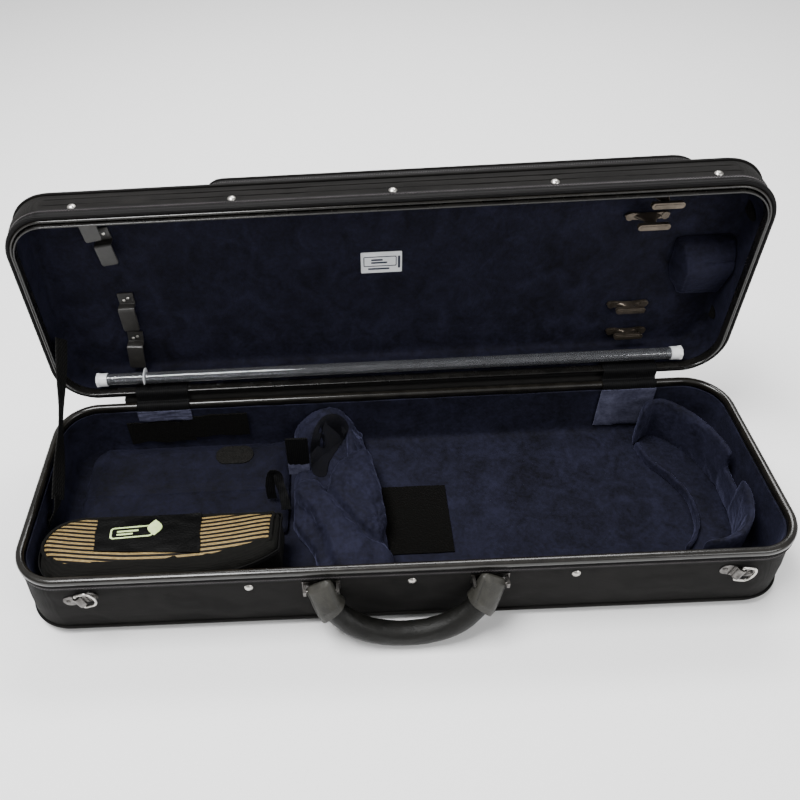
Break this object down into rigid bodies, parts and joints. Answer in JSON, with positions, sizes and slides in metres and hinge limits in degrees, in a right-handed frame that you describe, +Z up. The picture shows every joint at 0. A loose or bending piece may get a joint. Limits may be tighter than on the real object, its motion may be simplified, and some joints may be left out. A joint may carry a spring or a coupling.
{
  "type": "violin case",
  "caption": "Oblong zipped case for a violin: padded base, hinged lid with bow holders and string tube, carrying handle, strap rings and a lift-out pouch.",
  "frame": {"origin": "centre of the base's underside", "axes": "+X along the case towards the lower-bout end, +Y towards the lid's hinge, +Z up"},
  "size_m": [0.8014, 0.3765, 0.3509],
  "materials": {
    "cover_fabric": "matt woven cloth, charcoal",
    "shell_board": "bare plywood",
    "velvet": "navy plush with a soft nap",
    "rim_trim": "satin bronze-grey edge trim",
    "zip_tape": "woven tape with a coil zip",
    "webbing": "ribbed black webbing",
    "hook_tape": "fuzzy hook-and-loop tape",
    "pouch_cloth": "striped cloth with dark piping",
    "leather": "padded grained leather, stitched",
    "nickel": "polished nickel",
    "dark_nickel": "blackened nickel, satin",
    "clip_plastic": "dark grey satin plastic",
    "bronze": "dark bronze lacquer",
    "clear_tube": "clear acrylic",
    "white_plastic": "white moulded plastic"
  },
  "bodies": {
    "base": {"base_cover": "cover_fabric", "hinge_band": "cover_fabric", "base_shell": "shell_board", "base_lining": "velvet", "scroll_pad": "velvet", "neck_cradle": "velvet", "bout_cradle": "velvet", "base_rim": "rim_trim", "base_zip_tape": "zip_tape", "neck_strap": "webbing", "stay_strap": "webbing", "hinge_strap_left": "webbing", "hinge_strap_right": "webbing", "hook_strip": "hook_tape", "floor_patch": "hook_tape", "base_rivet_left": "nickel", "base_rivet_centre": "nickel", "base_rivet_right": "nickel", "zip_slider_left": "dark_nickel", "zip_slider_right": "dark_nickel", "handle_anchor_left": "dark_nickel", "handle_anchor_right": "dark_nickel", "strap_plate_left": "dark_nickel", "strap_plate_right": "dark_nickel"},
    "lid": {"lid_cover": "cover_fabric", "lid_shell": "shell_board", "lid_lining": "velvet", "lid_rim": "rim_trim", "lid_zip_tape": "zip_tape", "lid_rivet_1": "nickel", "lid_rivet_2": "nickel", "lid_rivet_3": "nickel", "lid_rivet_4": "nickel", "lid_rivet_5": "nickel", "tip_clip_1": "clip_plastic", "tip_clip_2": "clip_plastic", "tip_clip_3": "clip_plastic", "tip_clip_4": "clip_plastic", "spinner_base_1": "bronze", "spinner_base_2": "bronze", "spinner_base_3": "bronze", "spinner_base_4": "bronze", "string_tube": "clear_tube", "tube_cap_left": "white_plastic", "tube_cap_right": "white_plastic", "end_block": "velvet", "label_plate": "white_plastic", "music_pocket": "cover_fabric"},
    "handle": {"handle_tab_left": "leather", "handle_tab_right": "leather", "handle_grip": "leather"},
    "strap_ring_left": {"strap_ring_left": "nickel"},
    "strap_ring_right": {"strap_ring_right": "nickel"},
    "zip_pull_left": {"zip_pull_left": "dark_nickel"},
    "zip_pull_right": {"zip_pull_right": "dark_nickel"},
    "pouch": {"accessory_pouch": "pouch_cloth"},
    "spinner_1": {"spinner_bar_1": "bronze"},
    "spinner_2": {"spinner_bar_2": "bronze"},
    "spinner_3": {"spinner_bar_3": "bronze"},
    "spinner_4": {"spinner_bar_4": "bronze"}
  },
  "joints": [
    {"name": "lid_hinge", "type": "hinge", "parent": "base", "child": "lid", "pos_m": [0, 0.128, 0.098], "axis": [-1, 0, 0], "range_deg": [-91, 0], "deforming": ["hinge_band", "hinge_strap_left", "hinge_strap_right", "stay_strap"]},
    {"name": "handle_swing", "type": "hinge", "parent": "base", "child": "handle", "pos_m": [0, -0.1305, 0.072], "axis": [-1, 0, 0], "range_deg": [0, 100]},
    {"name": "strap_ring_left_swing", "type": "hinge", "parent": "base", "child": "strap_ring_left", "pos_m": [-0.327, -0.1269, 0.066], "axis": [0.2955, 0, -0.9553], "range_deg": [0, 150]},
    {"name": "strap_ring_right_swing", "type": "hinge", "parent": "base", "child": "strap_ring_right", "pos_m": [0.33, -0.1269, 0.066], "axis": [-0.2474, 0, -0.9689], "range_deg": [0, 150]},
    {"name": "zip_pull_left_swing", "type": "hinge", "parent": "base", "child": "zip_pull_left", "pos_m": [-0.3994, 0.084, 0.082], "axis": [0, 1, 0], "range_deg": [0, 90]},
    {"name": "zip_pull_right_swing", "type": "hinge", "parent": "base", "child": "zip_pull_right", "pos_m": [0.3994, 0.084, 0.082], "axis": [0, -1, 0], "range_deg": [0, 90]},
    {"name": "pouch_lift", "type": "slide", "parent": "base", "child": "pouch", "axis": [0, 0, 1], "range_m": [0, 0.09]},
    {"name": "spinner_1_turn", "type": "hinge", "parent": "lid", "child": "spinner_1", "pos_m": [0.288, 0.14955, 0.31816], "axis": [0, 0.9998, -0.0175], "range_deg": [-90, 90]},
    {"name": "spinner_2_turn", "type": "hinge", "parent": "lid", "child": "spinner_2", "pos_m": [0.282, 0.15505, 0.28956], "axis": [0, 0.9998, -0.0175], "range_deg": [-90, 90]},
    {"name": "spinner_3_turn", "type": "hinge", "parent": "lid", "child": "spinner_3", "pos_m": [0.285, 0.16299, 0.1714], "axis": [0, 0.9998, -0.0175], "range_deg": [-90, 90]},
    {"name": "spinner_4_turn", "type": "hinge", "parent": "lid", "child": "spinner_4", "pos_m": [0.291, 0.16428, 0.13087], "axis": [0, 0.9998, -0.0175], "range_deg": [-90, 90]}
  ]
}
